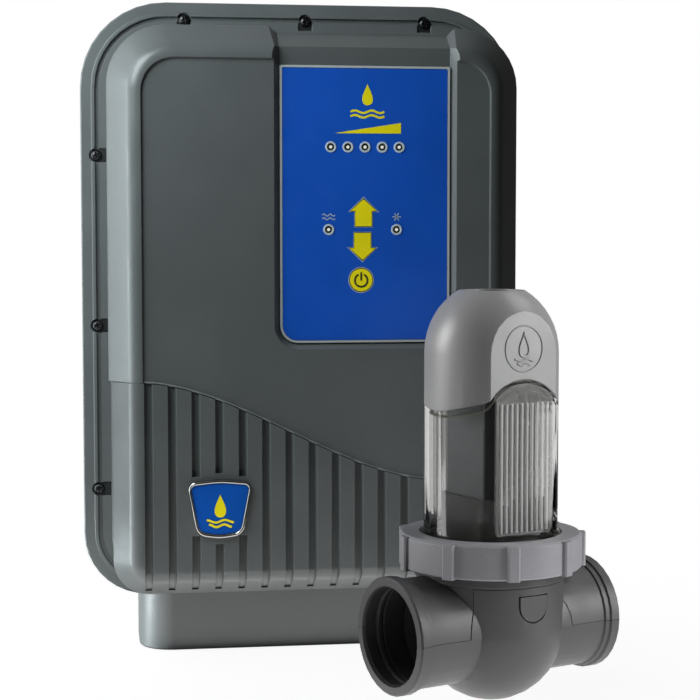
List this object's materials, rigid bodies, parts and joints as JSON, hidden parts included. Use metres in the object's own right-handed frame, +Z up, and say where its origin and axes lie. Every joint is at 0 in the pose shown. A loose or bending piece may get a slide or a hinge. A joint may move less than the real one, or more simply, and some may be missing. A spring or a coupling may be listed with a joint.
{
  "type": "salt chlorine generator",
  "caption": "Wall-mounted pool chlorinator power pack with a keypad and ribbed lower cover, and its clear electrolytic cell on a clamp-on pipe housing.",
  "frame": {"origin": "underside of the foot's middle web, level with the lowest point of the cell", "axes": "+Z up, -Y towards the viewer of the keypad, +X to the right of the power pack"},
  "size_m": [0.3512, 0.3099, 0.476],
  "materials": {
    "case_grey": "fine-grained moulded plastic, dark grey",
    "cover_grey": "fine-grained moulded plastic, satin grey",
    "foot_grey": "fine-grained moulded plastic, grey",
    "black_rubber": "matt seal rubber",
    "black_plastic": "matt moulded plastic, black",
    "panel_blue": "satin printed foil, blue",
    "silver_trim": "bright silver trim",
    "key_yellow": "satin printed key, yellow",
    "lamp_lens": "clear lens in a bright ring",
    "black_screw": "black oxide",
    "board_green": "circuit board",
    "copper": "lacquered winding",
    "aluminium": "bare",
    "housing_grey": "moulded plastic, charcoal",
    "ring_grey": "satin moulded plastic, light grey",
    "cap_grey": "satin moulded plastic, grey",
    "clear_plastic": "clear moulded plastic",
    "titanium": "coated titanium, dull"
  },
  "bodies": {
    "case": {"front_housing": "case_grey", "rear_shell": "case_grey", "upper_cover": "cover_grey", "foot_shroud": "foot_grey", "case_gasket": "black_rubber", "cable_gland_mains": "black_plastic", "cable_gland_cell": "black_plastic", "terminal_block": "black_plastic", "fuse_holder": "black_plastic", "keypad_panel": "panel_blue", "keypad_bezel": "silver_trim", "lamp_level_1": "lamp_lens", "lamp_level_2": "lamp_lens", "lamp_level_3": "lamp_lens", "lamp_level_4": "lamp_lens", "lamp_level_5": "lamp_lens", "lamp_flow": "lamp_lens", "lamp_salt": "lamp_lens", "case_screw_left_low": "black_screw", "case_screw_left_middle": "black_screw", "case_screw_left_high": "black_screw", "case_screw_right_low": "black_screw", "case_screw_right_middle": "black_screw", "case_screw_right_high": "black_screw", "case_screw_top_left": "black_screw", "case_screw_top_middle": "black_screw", "case_screw_top_right": "black_screw", "control_board": "board_green", "power_board": "board_green", "transformer_coil": "copper", "heat_sink": "aluminium", "transformer_clamp": "aluminium"},
    "front_cover": {"lower_cover": "cover_grey", "badge_rim": "silver_trim", "badge_face": "panel_blue"},
    "up_key": {"key_up": "key_yellow"},
    "down_key": {"key_down": "key_yellow"},
    "power_key": {"key_power": "key_yellow"},
    "cell_housing": {"pipe_saddle": "housing_grey", "pipe_cradle": "housing_grey", "port_seal_left": "black_rubber", "port_seal_right": "black_rubber", "vessel_o_ring": "black_rubber"},
    "vessel": {"clear_vessel": "clear_plastic", "cell_cap": "cap_grey", "plate_carrier": "black_plastic", "baffle": "black_plastic", "contact_pin_left": "titanium", "contact_pin_middle": "titanium", "contact_pin_right": "titanium", "electrode_plate_1": "titanium", "electrode_plate_2": "titanium", "electrode_plate_3": "titanium", "electrode_plate_4": "titanium", "electrode_plate_5": "titanium"},
    "washer": {"slip_washer": "clear_plastic"},
    "union_nut": {"lock_ring": "ring_grey"}
  },
  "joints": [
    {"name": "key_up_press", "type": "slide", "parent": "case", "child": "up_key", "axis": [0, 1, 0], "range_m": [0, 0.0008], "stiffness_N_per_m": 1500},
    {"name": "key_down_press", "type": "slide", "parent": "case", "child": "down_key", "axis": [0, 1, 0], "range_m": [0, 0.0008], "stiffness_N_per_m": 1500},
    {"name": "key_power_press", "type": "slide", "parent": "case", "child": "power_key", "axis": [0, 1, 0], "range_m": [0, 0.0008], "stiffness_N_per_m": 1500},
    {"name": "lower_cover_pull", "type": "slide", "parent": "case", "child": "front_cover", "axis": [0, -1, 0], "range_m": [0, 0.035]},
    {"name": "cell_place", "type": "slide", "parent": "case", "child": "cell_housing", "axis": [0, -1, 0], "range_m": [0, 0.06]},
    {"name": "vessel_lift", "type": "slide", "parent": "cell_housing", "child": "vessel", "axis": [0, 0, 1], "range_m": [0, 0.1]},
    {"name": "nut_rise", "type": "slide", "parent": "vessel", "child": "washer", "axis": [0, 0, 1], "range_m": [0, 0.012]},
    {"name": "nut_turn", "type": "hinge", "parent": "washer", "child": "union_nut", "pos_m": [0.099, -0.191, 0.1], "axis": [0, 0, 1], "range_deg": [0, 720]}
  ],
  "couplings": [
    {"joint": "nut_rise", "follows": "nut_turn", "m_per_rad": 0.00095493}
  ]
}
